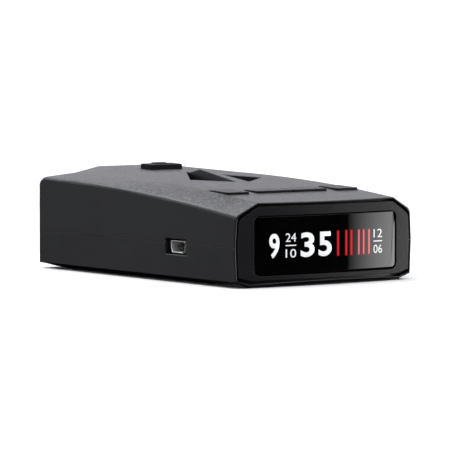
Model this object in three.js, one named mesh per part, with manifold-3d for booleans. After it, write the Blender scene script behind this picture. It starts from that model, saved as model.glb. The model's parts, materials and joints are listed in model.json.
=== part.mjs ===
// A windscreen radar detector: two case halves, a display front, four keys, a bracket release
// button, a USB power socket and the electronics inside. Millimetres, +X to the right as the
// driver sees the display, the display faces -Y, the road-facing end is at +Y, +Z is up.
import * as THREE from 'three';
import { ConvexGeometry } from 'three/addons/geometries/ConvexGeometry.js';
import { mergeVertices } from 'three/addons/utils/BufferGeometryUtils.js';
import Module from 'manifold-3d';

const wasm = await Module();
wasm.setup();

// ---- Driving dimensions -------------------------------------------------------------------
const bodyWidth = 70; // at the parting line, the widest place
const bodyLength = 112.6; // display face to road-facing end
const frontHeight = 26.2; // top edge of the display face
const rearHeight = 33.3; // centre panel at the road-facing end
const shoulderDrop = 2; // crease 1 below the centre panel at the road-facing end
const sideHeightFront = 22; // top edge of the side wall at the display
const sideDrop = 1; // top edge of the side wall below crease 1 there
const partingHeight = 12.5; // where the case halves meet
const partingGap = 0.3;
const lipHeight = 2; // the lip's foot below the parting line
const lipReach = 0.9; // and its edge above it
const lipWall = 1;
const lipStart = 11; // from the display face
const wall = 2;
const frontBow = 2.67; // how far the display face curves back at the corners
const rearCornerRadius = 2;
const rearEdgeRadius = 3.5;
const edgeFillet = 1.1; // rounding between the side wall and the top bevel
const sideDraft = 0.55; // each side wall leans in by this above and below the parting line
const bottomChamferRun = 5.4;
const bottomChamferRise = 1.6;
const padDrop = 0.25; // the middle of the base stands this much lower than its ends
const padFront = 22;
const padRear = 12.5;

const fitGap = 0.3; // between pieces that touch on the real thing
const slideGap = 0.3; // around pieces that move

const bevelWidth = 7.6; // side wall edge to crease 1, at the display
const bevelSpread = 5.2; // how much crease 1 moves inwards towards the road-facing end
const panelInset = 20; // side of the case to crease 2
const panelSpread = 2.5;

const rimWall = 0.6; // thin rim of the case around the bezel
const bezelSeam = 0.45; // dark groove between the rim and the bezel
const bezelThickness = 2.6;
const windowSideMargin = 6.95; // side of the case to the window opening
const windowTopMargin = 4;
const windowFloorGap = 0.4; // flange of the window to the floor of the case
const windowCornerRadius = 2.3;
const windowThickness = 1;
const windowFlange = 0.9;

const panelThickness = 1.6;
const boardThickness = 1.2;
const flexHalf = 6;
const flexThickness = 0.3;
const holderWall = 1.2;

const keyProud = 0.8; // a key's front edge above the centre panel
const keyProudRear = 0.2; // and its rear edge
const keyTravel = 0.4;
const keyRowFront = 18.3; // front edge of the outer keys, from the display face
const outerKeyWidth = 8.4;
const outerKeyLength = 10.2;
const middleKeyLength = 7.4;
const middleKeySetback = 0.6; // its front edge behind those of the outer keys
const keyCreaseMargin = 0.8; // crease 1 to the outer key
const keySpacing = 3.65; // outer key to middle key
const keySplit = 0.5; // between the two middle keys
const keyFlange = 0.6;
const keyFlangeThickness = 0.8;

const switchSize = 6;
const switchHeight = 3.2;
const plungerRadius = 1.75;
const plungerHeight = 2.4;
const plungerSink = 1; // its lower end inside the switch

const recessLength = 31; // the arrow-shaped recess in the top
const recessOffset = 2.45; // its centre lies this far behind the middle of keys and release button
const recessTipHalf = 2.4;
const recessCorner = 0.3; // where its widest corner lies along it
const recessShoulder = 0.49; // where its next corner lies
const recessNarrowing = 0.73; // and how wide it is there
const arrowRise = 1.65; // the arrow's point above the panel
const arrowPointHalf = 0.5;
const arrowFlare = 0.3; // how much each side spreads from top to foot
const arrowThickness = 2;

const slotHeight = 2; // bracket slot under the centre panel
const slotFloor = 1.5;
const slotSide = 1.5;
const slotInset = 19; // side of the case to the slot
const slotRelief = 0.4; // groove beside each rib of the slot

const releaseFromRear = 21.8; // middle of the release button, from the road-facing end
const releaseHalf = 6.2;
const releaseLength = 6.5;
const releaseProud = 1.65;
const releaseTravel = 1.2;
const releaseRidgeHeight = 0.35;
const releaseRidgeHalf = 2.4;
const releaseFlange = 0.8;
const releaseFlangeThickness = 0.9;
const cupWall = 1.3;
const springRadius = 2.3;
const springWire = 0.25;
const springTurns = 5;
const springSeatGap = 0.15;
const cupClearance = 1; // spring cup above the horn

const socketFromFront = 33.6; // USB socket centre, from the display face
const socketHeight = 11.3; // its centre above the base
const socketWidth = 7.7;
const socketDepth = 9.2;
const socketTall = 4;
const socketSheet = 0.4;
const socketRecess = 0.85;
const portLength = 11;
const portTall = 4.9;

const mainBoardFront = 19;
const boardToHorn = 1.5;
const mainBoardThickness = 1.6;

const hornSideGap = 5.5; // horn's mouth to the laser sensor beside it
const hornMouthTall = 18;
const hornThroatWidth = 14;
const hornThroatTall = 8;
const hornLength = 20;
const hornBlock = 9;
const hornWall = 1.5;
const hornFromRear = 3.2;
const hornClearance = 1.8; // above the floor of the case
const hornRibGap = 3; // horn block to the ribs under it

const lensWidth = 11;
const lensTopMargin = 7.1; // top edge of the side wall to the lens
const lensFromSide = 11; // lens centre to the side of the case
const sensorDome = 1.6;
const sensorCan = 2;
const sensorCanWidth = 7;
const sensorCanTall = 5.6;

const speakerRadius = 11.5;
const speakerTall = 4.2;
const speakerFromFront = 58;
const speakerSlotCount = 7;
const speakerSlotPitch = 2.6;
const speakerSlotWidth = 1.2;

const caseScrewInset = 9.5; // screw centre to the side of the case
const caseScrewFront = 14.2;
const caseScrewRear = 17.5;
const screwRadius = 1.2;
const screwHeadRadius = 2.4;
const screwHeadTall = 1.8;
const screwLength = 14;
const screwBite = 7.7; // depth of the screw hole above the parting line
const screwSink = 2.2; // the heads sit this deep in the base
const smallScrewRadius = 0.8;
const smallHeadRadius = 1.6;
const smallHeadTall = 1.1;
const smallScrewLength = 5;
const boardScrewLength = 3;
const screwRecess = 0.3; // half width of the cross in a screw head
const postRadius = 2.3;

const labelLength = 15;
const labelWidth = 18;
const labelThickness = 0.2;
const labelSink = 0.1; // its face is this deep in the base
const labelFromRear = 42;

const chipSize = 14;
const chipThickness = 1.4;
const chipSetback = 19; // front edge of the main board to the processor
const shieldWidth = 26;
const shieldLength = 16;
const shieldTall = 3.6;
const shieldSheet = 0.4;
const shieldSetback = 2; // back edge of the main board to the shield can

// ---- Materials ----------------------------------------------------------------------------
const paint = (color, roughness, metalness = 0) =>
  new THREE.MeshStandardMaterial({ color, roughness, metalness });
const caseBlack = paint(0x2a2b2f, 0.6);
const bezelBlack = paint(0x262529, 0.55);
const keyBlack = paint(0x35363b, 0.4);
const gloss = paint(0x060608, 0.08);
const steel = paint(0xc9cacc, 0.3, 1);
const zinc = paint(0xa5a7aa, 0.5, 0.9);
const board = paint(0x1d5a37, 0.5);
const rubberBlack = paint(0x151517, 0.85);
const lensRed = paint(0x2a0508, 0.1);
const paper = paint(0xb9bbbe, 0.7);
const flexAmber = paint(0xa8641c, 0.4);
const chipBlack = paint(0x18181a, 0.55);

// ---- Solids -------------------------------------------------------------------------------
const halfWidth = bodyWidth / 2;
const along = (s) => s - bodyLength / 2; // distance from the display face to a Y value

function toSolid(geometry) {
  const bare = geometry.index ? geometry.toNonIndexed() : geometry.clone();
  bare.deleteAttribute('normal');
  bare.deleteAttribute('uv');
  const merged = mergeVertices(bare, 1e-4);
  return new wasm.Manifold(
    new wasm.Mesh({
      numProp: 3,
      vertProperties: merged.attributes.position.array,
      triVerts: new Uint32Array(merged.index.array),
    }),
  );
}

function toGeometry(solid) {
  const mesh = solid.getMesh();
  const geometry = new THREE.BufferGeometry();
  geometry.setAttribute('position', new THREE.BufferAttribute(mesh.vertProperties, 3));
  geometry.setIndex(new THREE.BufferAttribute(mesh.triVerts, 1));
  const flat = geometry.toNonIndexed();
  flat.computeVertexNormals();
  return flat;
}

const detector = new THREE.Group();

function place(name, solid, material) {
  const mesh = new THREE.Mesh(toGeometry(solid), material);
  mesh.name = name;
  detector.add(mesh);
}

// A box between two X, two s (distance from the display face) and two Z values.
function block(x0, x1, s0, s1, z0, z1) {
  const box = new THREE.BoxGeometry(x1 - x0, s1 - s0, z1 - z0);
  box.translate((x0 + x1) / 2, along((s0 + s1) / 2), (z0 + z1) / 2);
  return toSolid(box);
}

// An upright round rod at (x, s).
function rod(radius, x, s, z0, z1, sides = 16) {
  const cylinder = new THREE.CylinderGeometry(radius, radius, z1 - z0, sides);
  cylinder.rotateX(Math.PI / 2);
  cylinder.translate(x, along(s), (z0 + z1) / 2);
  return toSolid(cylinder);
}

// An outline in plan, drawn in (x, y), stood up between two heights.
function upright(shape, z0, z1, curveSegments = 8) {
  const prism = new THREE.ExtrudeGeometry(shape, {
    depth: z1 - z0,
    bevelEnabled: false,
    curveSegments,
  });
  prism.translate(0, 0, z0);
  return toSolid(prism);
}

// An outline drawn in (x, z) as seen from the display, run from s0 back to s1.
function frontal(shape, s0, s1, curveSegments = 6) {
  const prism = new THREE.ExtrudeGeometry(shape, {
    depth: s1 - s0,
    bevelEnabled: false,
    curveSegments,
  });
  prism.rotateX(Math.PI / 2);
  prism.translate(0, along(s1), 0);
  return toSolid(prism);
}

// An outline drawn in (s, z) as seen from the side, run from x0 to x1.
function sideways(points, x0, x1) {
  const shape = new THREE.Shape(points.map(([s, z]) => new THREE.Vector2(along(s), z)));
  const prism = new THREE.ExtrudeGeometry(shape, { depth: x1 - x0, bevelEnabled: false });
  prism.rotateY(Math.PI / 2);
  prism.rotateX(Math.PI / 2);
  prism.translate(x0, 0, 0);
  return toSolid(prism);
}

function roundedRect(x0, x1, z0, z1, radius) {
  const shape = new THREE.Shape();
  shape.absarc(x1 - radius, z0 + radius, radius, -Math.PI / 2, 0);
  shape.absarc(x1 - radius, z1 - radius, radius, 0, Math.PI / 2);
  shape.absarc(x0 + radius, z1 - radius, radius, Math.PI / 2, Math.PI);
  shape.absarc(x0 + radius, z0 + radius, radius, Math.PI, 1.5 * Math.PI);
  return shape;
}

const polygon = (points) => new THREE.Shape(points.map(([a, b]) => new THREE.Vector2(a, b)));

// ---- The case form ------------------------------------------------------------------------
// Each line of the top climbs from the display to the road-facing end on a parabola;
// ease is its steepness at the display.
const climb = (s, low, high, ease) => {
  const u = Math.min(Math.max(s / bodyLength, 0), 1);
  return low + (high - low) * (ease * u + (1 - ease) * u * u);
};
const spread = (s) => Math.min(Math.max(s / bodyLength, 0), 1) ** 2;
const shoulderHeight = rearHeight - shoulderDrop;
const sideHeightRear = shoulderHeight - sideDrop;
const sideEdgeZ = (s) => climb(s, sideHeightFront, sideHeightRear, 1.8);
const shoulderZ = (s) => climb(s, frontHeight, shoulderHeight, 2.45);
const deckZ = (s) => climb(s, frontHeight, rearHeight, 1.72);
const shoulderX = (s) => halfWidth - sideDraft - bevelWidth - bevelSpread * spread(s);
const panelX = (s) => halfWidth - panelInset - panelSpread * spread(s);

// The rounded top edge and the chamfered bottom edge of the road-facing end.
function rearDrop(s) {
  const into = Math.max(s - (bodyLength - rearEdgeRadius), 0);
  return rearEdgeRadius - Math.sqrt(Math.max(rearEdgeRadius ** 2 - into ** 2, 0));
}
const rearLift = (s) =>
  (bottomChamferRise * Math.max(s - (bodyLength - bottomChamferRun), 0)) / bottomChamferRun;
const frontLift = (s) => padDrop + 0.9 * Math.max(1 - s / 3, 0);

// Corners of the cross-section at s, counter-clockwise as the driver sees them,
// moved inwards by inset.
function section(s, inset) {
  const at = Math.min(s, bodyLength - 0.01);
  const drop = rearDrop(Math.min(at, bodyLength)) + inset;
  const half = halfWidth - inset;
  const edgeX = half - sideDraft;
  const edgeZ = sideEdgeZ(at) - drop;
  const creaseX = shoulderX(at) - 0.3 * inset;
  const creaseZ = shoulderZ(at) - drop;
  const slope = (creaseZ - edgeZ) / (edgeX - creaseX);
  const right = [
    [half - bottomChamferRun + 0.4 * inset, inset + Math.max(frontLift(at), rearLift(at))],
    [half - 0.9 * sideDraft, bottomChamferRise + 0.5 * inset + frontLift(at)],
    [half, partingHeight],
    [edgeX + 0.06, edgeZ - edgeFillet],
    [edgeX - 0.12 * edgeFillet, edgeZ - 0.42 * edgeFillet],
    [edgeX - 0.45 * edgeFillet, edgeZ - 0.08 * edgeFillet + 0.25 * edgeFillet * slope],
    [edgeX - edgeFillet, edgeZ + edgeFillet * slope],
    [creaseX, creaseZ],
    [panelX(at) - 0.2 * inset, deckZ(at) - drop],
  ];
  const left = right.map(([x, z]) => [-x, z]).reverse();
  return [...right, ...left];
}

function stations() {
  const straight = bodyLength - rearEdgeRadius;
  const list = [-6, 0, 3];
  const count = 12;
  for (let i = 1; i < count; i += 1) list.push(3 + ((straight - 3) * i) / count);
  for (let i = 0; i <= 4; i += 1) {
    list.push(straight + rearEdgeRadius * Math.sin((i * Math.PI) / 8));
  }
  list.push(bodyLength + 4);
  return list;
}

// The section swept along the case: an extrusion whose corners are moved to each station.
function caseForm(inset) {
  const list = stations();
  const steps = list.length - 1;
  const nominal = section(bodyLength / 2, inset);
  const form = new THREE.ExtrudeGeometry(polygon(nominal), {
    depth: steps,
    steps,
    bevelEnabled: false,
  });
  const position = form.attributes.position;
  for (let i = 0; i < position.count; i += 1) {
    const x = position.getX(i);
    const z = position.getY(i);
    const corner = nominal.findIndex(([a, b]) => Math.hypot(a - x, b - z) < 1e-3);
    const s = list[steps - Math.round(position.getZ(i))];
    const [newX, newZ] = section(s, inset)[corner];
    position.setXYZ(i, newX, along(s), newZ);
  }
  return toSolid(form);
}

// The case in plan: a bowed display face, straight sides and rounded rear corners.
function planOutline(inset, frontInset) {
  const half = halfWidth - inset;
  const radius = Math.max(rearCornerRadius - inset, 0.5);
  const rear = along(bodyLength - inset);
  const front = along(frontInset);
  const shape = new THREE.Shape();
  shape.moveTo(-half, front + frontBow);
  shape.quadraticCurveTo(0, front - frontBow, half, front + frontBow);
  shape.lineTo(half, rear - radius);
  shape.absarc(half - radius, rear - radius, radius, 0, Math.PI / 2);
  shape.lineTo(-half + radius, rear);
  shape.absarc(-half + radius, rear - radius, radius, Math.PI / 2, Math.PI);
  shape.lineTo(-half, front + frontBow);
  return shape;
}

// A slice parallel to the bowed display face, from depth d0 to depth d1 behind it.
function frontSlice(d0, d1) {
  const half = halfWidth + 1;
  const bow = frontBow * (half / halfWidth) ** 2;
  const shape = new THREE.Shape();
  shape.moveTo(-half, along(d0) + bow);
  shape.quadraticCurveTo(0, along(d0) - bow, half, along(d0) + bow);
  shape.lineTo(half, along(d1) + bow);
  shape.quadraticCurveTo(0, along(d1) - bow, -half, along(d1) + bow);
  shape.lineTo(-half, along(d0) + bow);
  return upright(shape, -5, rearHeight + 10, 14);
}

// A layer under the centre panel between x0 and x1, from depth d0 down to depth d1.
function deckLayer(x0, x1, s0, s1, d0, d1, parts = 3) {
  const points = [];
  for (let i = 0; i <= parts; i += 1) {
    const s = s0 + ((s1 - s0) * i) / parts;
    points.push([s, deckZ(s) - d1]);
  }
  for (let i = parts; i >= 0; i -= 1) {
    const s = s0 + ((s1 - s0) * i) / parts;
    points.push([s, deckZ(s) - d0]);
  }
  return sideways(points, x0, x1);
}

// ---- Places worked out from the driving dimensions ----------------------------------------
const windowHalf = halfWidth - windowSideMargin;
const windowLow = wall + fitGap + windowFlange + windowFloorGap;
const windowHigh = frontHeight - windowTopMargin;
const windowMiddle = (windowLow + windowHigh) / 2;
const windowBack = bezelThickness + fitGap + windowThickness;

const keyMiddle = keyRowFront + outerKeyLength / 2;
const middleKeyMiddle = keyRowFront + middleKeySetback + middleKeyLength / 2;
const outerKeyEdge = shoulderX(keyMiddle) - keyCreaseMargin;
const outerKeyCentre = outerKeyEdge - outerKeyWidth / 2;
const middleKeyEdge = outerKeyEdge - outerKeyWidth - keySpacing;
const middleKeyWidth = middleKeyEdge - keySplit / 2;
const middleKeyCentre = middleKeyEdge - middleKeyWidth / 2;

const releaseMiddle = bodyLength - releaseFromRear;
const releaseFront = releaseMiddle - releaseLength / 2;
const releaseBack = releaseMiddle + releaseLength / 2;

const recessMiddle = (keyRowFront + outerKeyLength + releaseFront) / 2 + recessOffset;
const recessFront = recessMiddle - recessLength / 2;
const recessBack = recessMiddle + recessLength / 2;

const slotFront = recessFront - 3;
const slotBack = releaseBack + 3.5;
const slotTop = wall + fitGap + slotHeight;
const slotHalf = halfWidth - slotInset;

const boardTop = socketHeight - socketTall / 2 - fitGap;
const boardBottom = boardTop - mainBoardThickness;
const mainBoardHalf = halfWidth - wall - fitGap - lipWall - 0.3;
const boardScrewX = mainBoardHalf - 4;

const switchDepth = wall + fitGap + keyFlangeThickness + 1.2;
const keyBoardTop =
  deckZ(keyRowFront) - switchDepth - plungerHeight + plungerSink - switchHeight - fitGap;
const keyBoardFront = keyRowFront + 0.4;
const keyBoardBack = keyRowFront + outerKeyLength + 5;
const keyPostS = keyBoardBack - 2.5;
const keyPostX = (outerKeyEdge - outerKeyWidth + middleKeyEdge) / 2;

const caseScrewX = halfWidth - caseScrewInset;
const caseScrewRows = [caseScrewFront, bodyLength - caseScrewRear];

const hornMouthS = bodyLength - wall - hornFromRear;
const hornThroatS = hornMouthS - hornLength;
const hornMiddle = wall + hornClearance + hornMouthTall / 2;
const mainBoardBack = hornThroatS - hornBlock - boardToHorn;
const boardScrewRows = [mainBoardFront + 4.5, mainBoardBack - 4];

const lensX = halfWidth - lensFromSide;
const lensLow = partingHeight + 2.6;
const lensHigh = sideHeightRear - lensTopMargin;
const hornMouthWidth = 2 * (lensX - sensorCanWidth / 2 - hornSideGap);

// ---- Case halves --------------------------------------------------------------------------
const signs = [-1, 1];

function caseShell() {
  const outside = caseForm(0).intersect(upright(planOutline(0, 0), -1, rearHeight + 9, 14));
  const cavity = caseForm(wall).intersect(upright(planOutline(wall, -8), -1, rearHeight + 9, 4));
  const rimPocket = caseForm(rimWall).intersect(frontSlice(-9, bezelThickness + fitGap));
  return outside.subtract(cavity).subtract(rimPocket);
}

// The space around the socket's mouth in the left side wall.
function portHole() {
  return block(
    -halfWidth - 1,
    -halfWidth + wall + fitGap + lipWall + 1,
    socketFromFront - portLength / 2,
    socketFromFront + portLength / 2,
    socketHeight - portTall / 2,
    socketHeight + portTall / 2,
  );
}

// The outline of a key in plan, grown by a margin.
function keyOutline(key, margin) {
  const half = key.width / 2 + margin;
  const reach = key.length / 2 + margin;
  const y = along(key.s);
  return roundedRect(key.x - half, key.x + half, y - reach, y + reach, 0.6);
}

const outerKey = { width: outerKeyWidth, length: outerKeyLength, s: keyMiddle };
const middleKey = { width: middleKeyWidth, length: middleKeyLength, s: middleKeyMiddle };
const keys = [
  { name: 'power', x: -outerKeyCentre, ...outerKey },
  { name: 'volume_down', x: -middleKeyCentre, ...middleKey },
  { name: 'volume_up', x: middleKeyCentre, ...middleKey },
  { name: 'mute', x: outerKeyCentre, ...outerKey },
];

// Half of the arrow-shaped recess, as an outline in plan.
function recessOutline(side) {
  const cornerS = recessFront + recessCorner * recessLength;
  const cornerX = panelX(cornerS);
  const shoulderS = recessFront + recessShoulder * recessLength;
  return polygon([
    [side * recessTipHalf, along(recessFront)],
    [side * cornerX, along(cornerS)],
    [side * recessNarrowing * cornerX, along(shoulderS)],
    [side * 0.3, along(recessBack)],
    [0, along(recessBack)],
    [0, along(recessFront)],
  ]);
}

// The raised arrow over the recess: a ramp that narrows and climbs to a point, with steep
// sides, and a tail that falls back to the panel.
function arrow() {
  const point = recessFront + 0.77 * recessLength;
  const rows = [
    { s: recessFront - 1, top: recessTipHalf, rise: -0.35 },
    { s: recessFront + 1.5, top: recessTipHalf - 0.1, rise: 0 },
    { s: point, top: arrowPointHalf, rise: arrowRise },
    { s: recessBack + 0.6, top: 0.3, rise: -0.3 },
  ];
  const corners = rows.map((row) => {
    const y = along(row.s);
    const high = deckZ(row.s) + row.rise;
    const low = deckZ(row.s) - arrowThickness;
    return signs.flatMap((side) => [
      new THREE.Vector3(side * row.top, y, high),
      new THREE.Vector3(side * (row.top + arrowFlare), y, low),
    ]);
  });
  let solid = toSolid(new ConvexGeometry([...corners[0], ...corners[1]]));
  for (let i = 1; i < corners.length - 1; i += 1) {
    solid = solid.add(toSolid(new ConvexGeometry([...corners[i], ...corners[i + 1]])));
  }
  return solid;
}

// Posts that take the case screws, hanging from the top down to the parting line.
function addScrewPosts(shell) {
  const low = partingHeight + partingGap / 2;
  let result = shell;
  for (const s of caseScrewRows) {
    for (const side of signs) {
      const x = side * caseScrewX;
      result = result
        .add(rod(postRadius + 0.6, x, s, low, shoulderZ(s) - wall / 2))
        .subtract(rod(screwRadius + fitGap, x, s, low - 1, low + screwBite, 12));
    }
  }
  return result;
}

// Posts behind the keys that hold the key board.
function addKeyPosts(shell) {
  let result = shell;
  for (const side of signs) {
    const x = side * keyPostX;
    const top = deckZ(keyPostS) - wall / 2;
    const hole = [keyBoardTop - 1, keyBoardTop + smallScrewLength + 1, 10];
    result = result
      .add(rod(postRadius, x, keyPostS, keyBoardTop + fitGap, top, 12))
      .subtract(rod(smallScrewRadius + fitGap, x, keyPostS, ...hole));
  }
  return result;
}

// The opening for the release button.
function releaseHole() {
  return block(
    -releaseHalf - slideGap,
    releaseHalf + slideGap,
    releaseFront - slideGap,
    releaseBack + slideGap,
    partingHeight + 5,
    99,
  );
}

// The opening for the lens in the road-facing end.
function lensHole() {
  const half = lensWidth / 2 + fitGap;
  const outline = roundedRect(lensX - half, lensX + half, lensLow - fitGap, lensHigh + fitGap, 1.2);
  return frontal(outline, bodyLength - wall - 1, bodyLength + 1);
}

function upperCase() {
  const upperHalf = block(-99, 99, -9, bodyLength + 9, partingHeight + partingGap / 2, 99);
  let shell = caseShell().intersect(upperHalf);
  for (const side of signs) {
    shell = shell.subtract(upright(recessOutline(side), deckZ(recessFront) - wall - 3, 99));
  }
  shell = shell.add(arrow());
  for (const key of keys) {
    const hole = keyOutline(key, slideGap);
    shell = shell.subtract(upright(hole, frontHeight - wall - 4, 99, 2));
  }
  shell = addKeyPosts(addScrewPosts(shell));
  return shell.subtract(releaseHole()).subtract(lensHole()).subtract(portHole());
}

// A lip inside the parting line, which keeps light and dust out.
function partingLip() {
  const ring = (outer, inner, z0, z1) =>
    caseForm(outer)
      .intersect(upright(planOutline(outer, 0), z0, z1, 4))
      .subtract(upright(planOutline(inner, -9), z0 - 1, z1 + 1, 4));
  const low = partingHeight - lipHeight;
  const meeting = partingHeight - partingGap / 2;
  const tongue = ring(wall + fitGap, wall + fitGap + lipWall, low, partingHeight + lipReach);
  const root = ring(wall / 2, wall + fitGap + lipWall, low, meeting);
  return tongue.add(root).intersect(block(-99, 99, lipStart, bodyLength + 9, -9, 99));
}

// Bosses for the case screws, with deep holes for their heads.
function addScrewBosses(shell) {
  const top = partingHeight - partingGap / 2;
  const foot = wall / 2 + padDrop;
  let result = shell;
  for (const s of caseScrewRows) {
    for (const side of signs) {
      const x = side * caseScrewX;
      result = result
        .add(rod(screwHeadRadius + 1.5, x, s, foot, top))
        .subtract(rod(screwHeadRadius + fitGap, x, s, -2, screwSink + screwHeadTall + fitGap))
        .subtract(rod(screwRadius + fitGap, x, s, 0, top + 1, 12));
    }
  }
  return result;
}

// Posts for the main board and two ribs under the horn's block.
function addBoardPosts(shell) {
  const foot = wall / 2 + padDrop;
  let result = shell;
  for (const s of boardScrewRows) {
    for (const side of signs) {
      const x = side * boardScrewX;
      const hole = [boardBottom - smallScrewLength, boardBottom + 1, 10];
      result = result
        .add(rod(postRadius, x, s, foot, boardBottom - fitGap, 12))
        .subtract(rod(smallScrewRadius + fitGap, x, s, ...hole));
    }
  }
  const ribTop = hornMiddle - hornThroatTall / 2 - hornWall - hornRibGap;
  for (const s of [hornThroatS - hornBlock / 2, hornThroatS + hornBlock / 3]) {
    result = result.add(block(-6, 6, s - 0.8, s + 0.8, foot, ribTop));
  }
  return result;
}

// Slots under the speaker, cut to its round.
function speakerSlots(shell) {
  let result = shell;
  for (let i = 0; i < speakerSlotCount; i += 1) {
    const offset = (i - (speakerSlotCount - 1) / 2) * speakerSlotPitch;
    const reach = Math.sqrt((speakerRadius - 2) ** 2 - offset ** 2);
    const s = speakerFromFront + offset;
    const half = speakerSlotWidth / 2;
    result = result.subtract(block(-reach, reach, s - half, s + half, -1, wall + 1));
  }
  return result;
}

// The shallow recess that holds the rating label.
function labelRecess() {
  const half = labelWidth / 2 + fitGap;
  const s0 = bodyLength - labelFromRear;
  const depth = labelSink + labelThickness + fitGap;
  return block(-half, half, s0 - fitGap, s0 + labelLength + fitGap, -1, depth);
}

function lowerCase() {
  const lowerHalf = block(-99, 99, -9, bodyLength + 9, -9, partingHeight - partingGap / 2);
  const padHalf = halfWidth - bottomChamferRun;
  const pad = block(-padHalf, padHalf, padFront, bodyLength - padRear, 0, wall);
  let shell = caseShell().intersect(lowerHalf).add(pad);
  shell = speakerSlots(addBoardPosts(addScrewBosses(shell)));
  return shell.subtract(labelRecess()).add(partingLip()).subtract(portHole());
}

// ---- Display front ------------------------------------------------------------------------
function frontBezel() {
  const outline = polygon(section(0, rimWall + bezelSeam));
  const plate = frontal(outline, -5, 15).intersect(frontSlice(0, bezelThickness));
  const opening = roundedRect(-windowHalf, windowHalf, windowLow, windowHigh, windowCornerRadius);
  return plate.subtract(frontal(opening, -9, 20));
}

function displayWindow() {
  const face = roundedRect(
    -windowHalf + fitGap,
    windowHalf - fitGap,
    windowLow + fitGap,
    windowHigh - fitGap,
    windowCornerRadius - fitGap,
  );
  const flange = roundedRect(
    -windowHalf - windowFlange,
    windowHalf + windowFlange,
    windowLow - windowFlange,
    windowHigh + windowFlange,
    windowCornerRadius,
  );
  const front = frontal(face, -5, 15).intersect(frontSlice(0.12, windowBack));
  const back = frontal(flange, -5, 15).intersect(frontSlice(bezelThickness + fitGap, windowBack));
  return front.add(back);
}

const panelHalf = windowHalf - 2;
const panelLow = windowLow + 1;
const panelHigh = windowHigh - 1;
const panelFront = windowBack + frontBow + fitGap;
const displayBoardFront = panelFront + panelThickness + fitGap;
const displayBack = displayBoardFront + boardThickness;

// A plate of the display's size whose front is at s.
function displayLayer(s, thickness) {
  return block(-panelHalf, panelHalf, s, s + thickness, panelLow, panelHigh);
}

function displayHolder() {
  const grow = fitGap + holderWall;
  const outer = block(
    -panelHalf - grow,
    panelHalf + grow,
    panelFront,
    displayBack,
    panelLow - grow,
    panelHigh + grow,
  );
  const inner = block(
    -panelHalf - fitGap,
    panelHalf + fitGap,
    panelFront - 1,
    displayBack + 1,
    panelLow - fitGap,
    panelHigh + fitGap,
  );
  return outer.subtract(inner);
}

// A flat cable from the display board down to the main board.
function displayFlex() {
  const start = new THREE.Vector2(displayBack + fitGap, windowMiddle + 1);
  const end = new THREE.Vector2(mainBoardFront + 4, boardTop + fitGap + 0.1);
  const curve = new THREE.CubicBezierCurve(
    start,
    new THREE.Vector2(start.x + 5, start.y + 3),
    new THREE.Vector2(end.x - 6, end.y),
    end,
  );
  const upperEdge = [];
  const lowerEdge = [];
  const count = 8;
  for (let i = 0; i <= count; i += 1) {
    const point = curve.getPoint(i / count);
    const tangent = curve.getTangent(i / count);
    lowerEdge.push([point.x, point.y]);
    upperEdge.unshift([
      point.x - flexThickness * tangent.y,
      point.y + flexThickness * tangent.x,
    ]);
  }
  return sideways([...lowerEdge, ...upperEdge], -flexHalf, flexHalf);
}

// ---- Keys ---------------------------------------------------------------------------------
// A cap that follows the slope of the top, with a flange under the case and a short stem.
function keyCap(key) {
  const cap = upright(keyOutline(key, 0), keyBoardTop, 99, 2);
  const flange = upright(keyOutline(key, keyFlange), keyBoardTop, 99, 2);
  const skirtDepth = wall + fitGap + 0.25;
  const x0 = key.x - key.width / 2 - 1;
  const x1 = key.x + key.width / 2 + 1;
  const sag = deckZ(key.s) - shoulderZ(key.s);
  const fall = (Math.abs(key.x) / shoulderX(key.s)) * sag;
  const s0 = keyRowFront - 1;
  const s1 = keyRowFront + outerKeyLength + 1;
  const front = key.s - key.length / 2;
  const back = key.s + key.length / 2;
  const capLayer = sideways(
    [
      [front - 1, deckZ(front - 1) - fall - skirtDepth - 0.2],
      [back + 1, deckZ(back + 1) - fall - skirtDepth - 0.2],
      [back + 1, deckZ(back + 1) - fall + keyProudRear],
      [front - 1, deckZ(front - 1) - fall + keyProud],
    ],
    x0,
    x1,
  );
  const flangeNear = Math.max(Math.abs(key.x) - key.width / 2 - keyFlange, 0.15);
  const flangeFar = Math.abs(key.x) + key.width / 2 + 1;
  const flangeLayer = deckLayer(
    key.x > 0 ? flangeNear : -flangeFar,
    key.x > 0 ? flangeFar : -flangeNear,
    s0,
    s1,
    fall + skirtDepth,
    fall + skirtDepth + keyFlangeThickness,
  );
  const stemBottom = keyBoardTop + fitGap + switchHeight + plungerHeight - plungerSink + 0.1;
  const stemTop = deckZ(key.s) - fall - skirtDepth - keyFlangeThickness / 2;
  const stem = block(key.x - 2, key.x + 2, key.s - 2, key.s + 2, stemBottom, stemTop);
  return cap.intersect(capLayer).add(flange.intersect(flangeLayer)).add(stem);
}

function tactSwitch(key) {
  const low = keyBoardTop + fitGap;
  const half = switchSize / 2;
  const high = low + switchHeight;
  const body = block(key.x - half, key.x + half, key.s - half, key.s + half, low, high);
  const floor = high - plungerSink - keyTravel - 0.6;
  const hole = rod(plungerRadius + slideGap, key.x, key.s, floor, high + 5, 14);
  return body.subtract(hole);
}

function switchPlunger(key) {
  const low = keyBoardTop + fitGap + switchHeight - plungerSink;
  return rod(plungerRadius, key.x, key.s, low, low + plungerHeight, 14);
}

function keyBoard() {
  let plate = block(
    -outerKeyEdge - 1.5,
    outerKeyEdge + 1.5,
    keyBoardFront,
    keyBoardBack,
    keyBoardTop - boardThickness,
    keyBoardTop,
  );
  const hole = [keyBoardTop - boardThickness - 1, keyBoardTop + 1, 10];
  for (const side of signs) {
    plate = plate.subtract(rod(smallScrewRadius + fitGap, side * keyPostX, keyPostS, ...hole));
  }
  return plate;
}

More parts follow.
